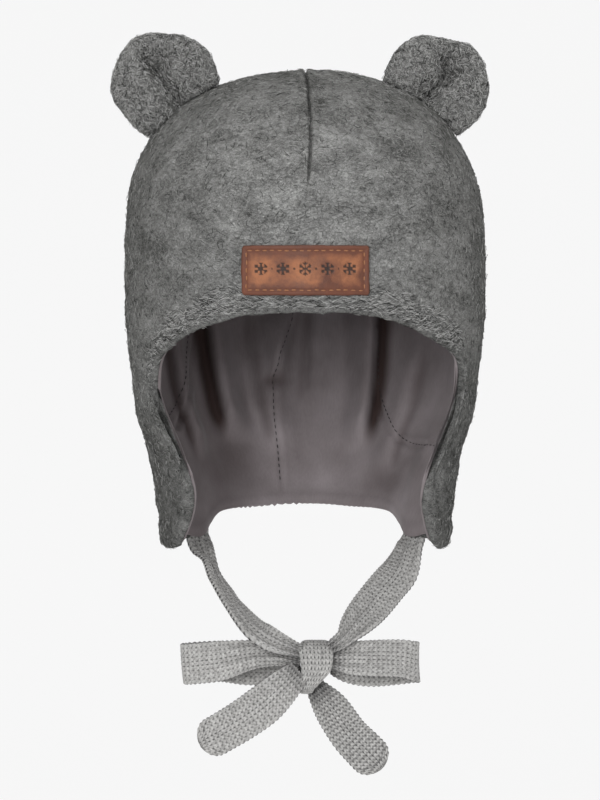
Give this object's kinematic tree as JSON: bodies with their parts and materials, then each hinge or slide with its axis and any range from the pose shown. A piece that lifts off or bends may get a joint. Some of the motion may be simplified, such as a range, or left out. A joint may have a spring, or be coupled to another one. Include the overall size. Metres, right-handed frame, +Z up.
{
  "type": "baby hat with ears",
  "caption": "Felted wool baby hat with round padded ears, face opening, ear flaps, jersey lining, leather forehead patch and knitted ties in a bow.",
  "frame": {"origin": "inside top of the crown, on the lining, where the head carries the hat", "axes": "+Z up to the crown's top, -Y out of the face opening, +X to the right in the view onto the face opening"},
  "size_m": [0.1599, 0.1736, 0.3133],
  "materials": {
    "felted_wool": "boiled wool, heathered mid grey, fuzzy",
    "lining_jersey": "smooth cotton jersey, taupe grey",
    "patch_leather": "vegetable-tanned leather, tan, stitched edge",
    "knitted_tape": "flat knitted tape, light grey"
  },
  "bodies": {
    "root": {"felt_crown": "felted_wool", "lining": "lining_jersey", "ear_left": "felted_wool", "ear_right": "felted_wool", "patch": "patch_leather", "tie_left": "knitted_tape", "tie_right": "knitted_tape", "bow_knot": "knitted_tape", "bow_loop_left": "knitted_tape", "bow_loop_right": "knitted_tape", "tail_left": "knitted_tape", "tail_right": "knitted_tape"}
  },
  "joints": []
}
